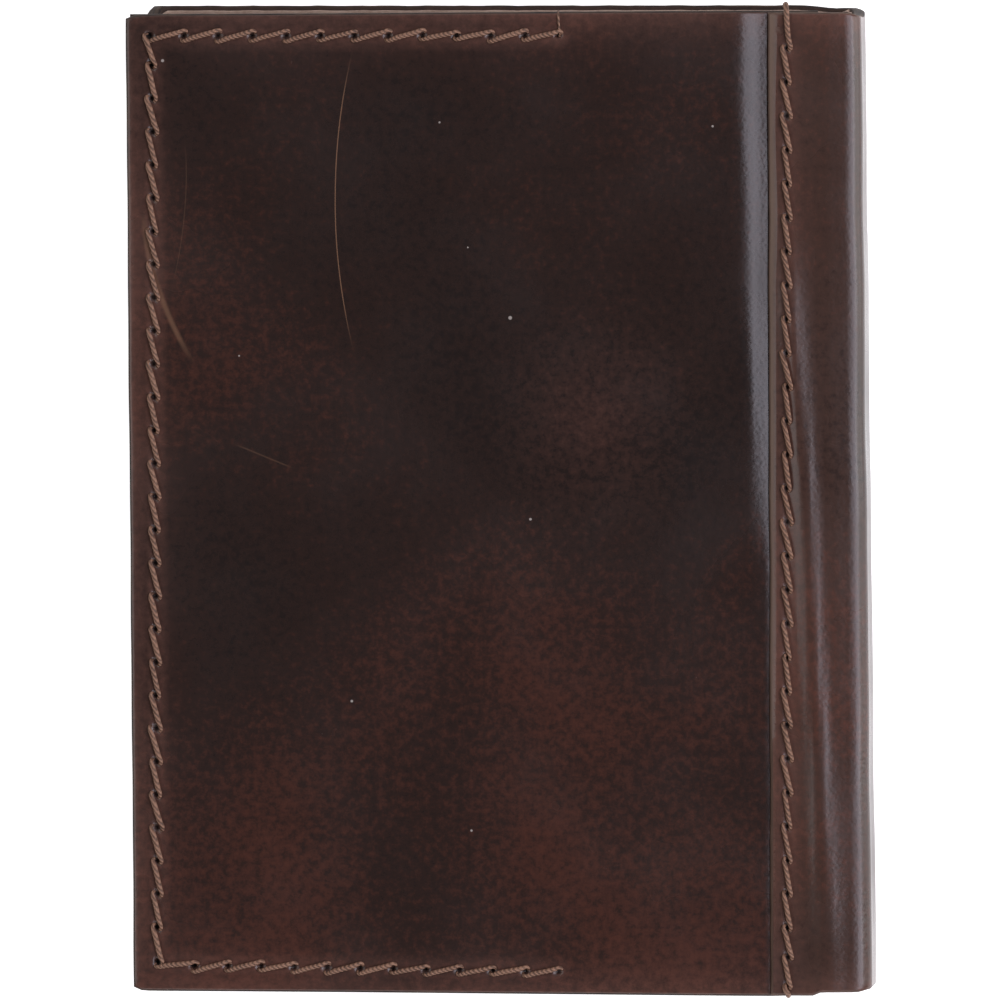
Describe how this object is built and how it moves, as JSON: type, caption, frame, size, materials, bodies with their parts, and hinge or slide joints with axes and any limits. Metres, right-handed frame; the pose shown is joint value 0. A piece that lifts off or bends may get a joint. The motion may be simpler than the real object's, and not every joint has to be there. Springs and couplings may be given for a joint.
{
  "type": "trifold wallet",
  "caption": "Closed leather trifold wallet with a hinged front cover, stitched pockets, card slots, a note compartment and a fold-in inner flap.",
  "frame": {"origin": "centre of the closed wallet's outline, on the outer face of the back panel", "axes": "+X towards the spine, +Y towards the top edge, +Z out of the front cover"},
  "size_m": [0.088, 0.1196, 0.0138],
  "materials": {
    "outer_leather": "glossy pull-up leather",
    "pocket_leather": "satin pull-up leather",
    "lining": "undyed split leather, matt",
    "thread": "waxed twisted thread",
    "fine_thread": "waxed twisted thread"
  },
  "bodies": {
    "back": {"back_panel": "outer_leather", "back_lining": "lining", "note_divider": "pocket_leather", "card_slot_upper": "pocket_leather", "card_slot_middle": "pocket_leather", "card_slot_lower": "pocket_leather", "card_pocket": "pocket_leather", "back_stitching": "thread", "card_stitching": "fine_thread"},
    "spine": {"spine_wrap": "outer_leather", "spine_lining": "lining"},
    "cover": {"front_panel": "outer_leather", "spine_lap": "outer_leather", "front_pocket": "pocket_leather", "front_stitching": "thread", "lap_stitching": "thread"},
    "inner_fold": {"fold_wrap": "outer_leather", "fold_lining": "lining"},
    "flap": {"flap_panel": "outer_leather", "flap_pocket": "pocket_leather", "flap_stitching": "fine_thread"}
  },
  "joints": [
    {"name": "spine_fold", "type": "hinge", "parent": "back", "child": "spine", "pos_m": [0.04283, 0, 0.00117], "axis": [0, 1, 0], "range_deg": [0, 90]},
    {"name": "cover_fold", "type": "hinge", "parent": "spine", "child": "cover", "pos_m": [0.04283, 0, 0.01228], "axis": [0, 1, 0], "range_deg": [0, 90]},
    {"name": "inner_fold_bend", "type": "hinge", "parent": "back", "child": "inner_fold", "pos_m": [-0.04133, 0, 0.00117], "axis": [0, -1, 0], "range_deg": [0, 90]},
    {"name": "flap_fold", "type": "hinge", "parent": "inner_fold", "child": "flap", "pos_m": [-0.04133, 0, 0.00863], "axis": [0, -1, 0], "range_deg": [0, 90]}
  ],
  "couplings": [
    {"joint": "cover_fold", "follows": "spine_fold", "ratio": 1},
    {"joint": "inner_fold_bend", "follows": "spine_fold", "ratio": 1},
    {"joint": "flap_fold", "follows": "spine_fold", "ratio": 1}
  ]
}
